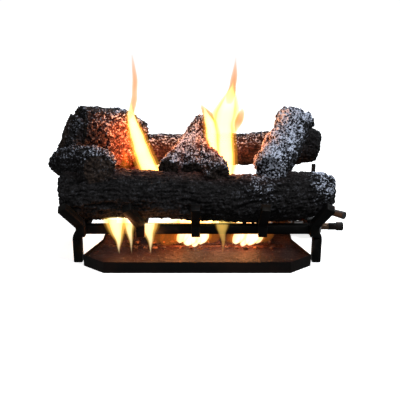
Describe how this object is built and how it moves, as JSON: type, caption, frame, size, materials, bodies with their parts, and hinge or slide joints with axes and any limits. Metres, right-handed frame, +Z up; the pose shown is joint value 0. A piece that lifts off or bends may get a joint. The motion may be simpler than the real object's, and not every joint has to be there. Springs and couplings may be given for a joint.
{
  "type": "gas log fire with thermocouple",
  "caption": "Gas log fire: charred ceramic logs on a bar grate over a sand pan burner, with a lever gas valve and a thermocouple pilot.",
  "frame": {"origin": "on the hearth under the middle of the whole set", "axes": "+X to the right along the logs, +Y to the back of the fireplace, +Z up; the front faces -Y"},
  "size_m": [0.687, 0.3785, 0.3146],
  "materials": {
    "bar_steel": "matte",
    "stand_steel": "matte",
    "pan_steel": "satin",
    "charred_ceramic": "matte",
    "sand": "matte",
    "ember": "matte",
    "burner_pipe": "satin",
    "sheet_steel": "satin",
    "brass_fitting": "satin",
    "aluminium_tube": "satin",
    "valve_casting": "matte",
    "black_iron": "matte",
    "steel_rod": "satin",
    "grip_black": "matte",
    "probe_steel": "satin",
    "copper_lead": "satin",
    "white_ceramic": "satin",
    "wire_jacket": "matte",
    "igniter_plastic": "gloss",
    "screw_steel": "satin"
  },
  "bodies": {
    "log_set": {"burner_chairs": "sheet_steel", "burner_crossover": "burner_pipe", "burner_end_caps": "burner_pipe", "burner_pan": "pan_steel", "electrode_insulator": "white_ceramic", "electrode_rod": "probe_steel", "ember_chips": "ember", "feed_nuts": "brass_fitting", "feed_tube": "aluminium_tube", "fixing_screws": "screw_steel", "front_burner_tube": "burner_pipe", "front_log": "charred_ceramic", "front_rail": "bar_steel", "igniter_wire": "wire_jacket", "inlet_elbow": "brass_fitting", "inlet_nipple": "brass_fitting", "log_saddles": "stand_steel", "mixer_tube": "burner_pipe", "orifice_fitting": "brass_fitting", "piezo_body": "igniter_plastic", "piezo_nut": "screw_steel", "pilot_bracket": "sheet_steel", "pilot_burner": "brass_fitting", "pilot_nuts": "brass_fitting", "pilot_shield": "sheet_steel", "pilot_tube": "aluminium_tube", "rear_burner_tube": "burner_pipe", "rear_log": "charred_ceramic", "rear_rail": "bar_steel", "rear_stand": "stand_steel", "runner_1": "bar_steel", "runner_2": "bar_steel", "runner_3": "bar_steel", "runner_4": "bar_steel", "runner_5": "bar_steel", "sand_bed": "sand", "supply_coupling": "black_iron", "supply_pipe": "black_iron", "thermocouple_end_nut": "brass_fitting", "thermocouple_lead": "copper_lead", "thermocouple_nut": "brass_fitting", "thermocouple_sleeve": "probe_steel", "thermocouple_tip": "probe_steel", "tine_1": "bar_steel", "tine_2": "bar_steel", "tine_3": "bar_steel", "tine_4": "bar_steel", "tine_5": "bar_steel", "valve_body": "valve_casting", "valve_bracket": "sheet_steel"},
    "left_fork": {"left_fork_log": "charred_ceramic"},
    "centre_twig": {"centre_twig_log": "charred_ceramic"},
    "right_branch": {"right_branch_log": "charred_ceramic"},
    "stem": {"valve_stem": "steel_rod"},
    "handle": {"control_hub": "black_iron", "control_rod": "steel_rod", "control_grip": "grip_black"},
    "igniter_button": {"piezo_button": "igniter_plastic"},
    "shutter": {"air_shutter": "sheet_steel", "shutter_screw": "brass_fitting"}
  },
  "joints": [
    {"name": "left_fork_lift", "type": "slide", "parent": "log_set", "child": "left_fork", "axis": [0, 0, 1], "range_m": [0, 0.22]},
    {"name": "centre_twig_lift", "type": "slide", "parent": "log_set", "child": "centre_twig", "axis": [0, 0, 1], "range_m": [0, 0.22]},
    {"name": "right_branch_lift", "type": "slide", "parent": "log_set", "child": "right_branch", "axis": [0, 0, 1], "range_m": [0, 0.22]},
    {"name": "valve_turn", "type": "hinge", "parent": "log_set", "child": "stem", "pos_m": [0.279, 0.049, 0.06], "axis": [0, 0, 1], "range_deg": [-45, 45]},
    {"name": "handle_press", "type": "slide", "parent": "stem", "child": "handle", "axis": [0, 0, -1], "range_m": [0, 0.004], "stiffness_N_per_m": 900, "springref_m": -0.004},
    {"name": "igniter_press", "type": "slide", "parent": "log_set", "child": "igniter_button", "axis": [-1, 0, 0], "range_m": [0, 0.005], "stiffness_N_per_m": 900, "springref_m": -0.003},
    {"name": "shutter_turn", "type": "hinge", "parent": "log_set", "child": "shutter", "pos_m": [0.06, 0.056, 0.012], "axis": [0, 1, 0], "range_deg": [-70, 70]}
  ]
}
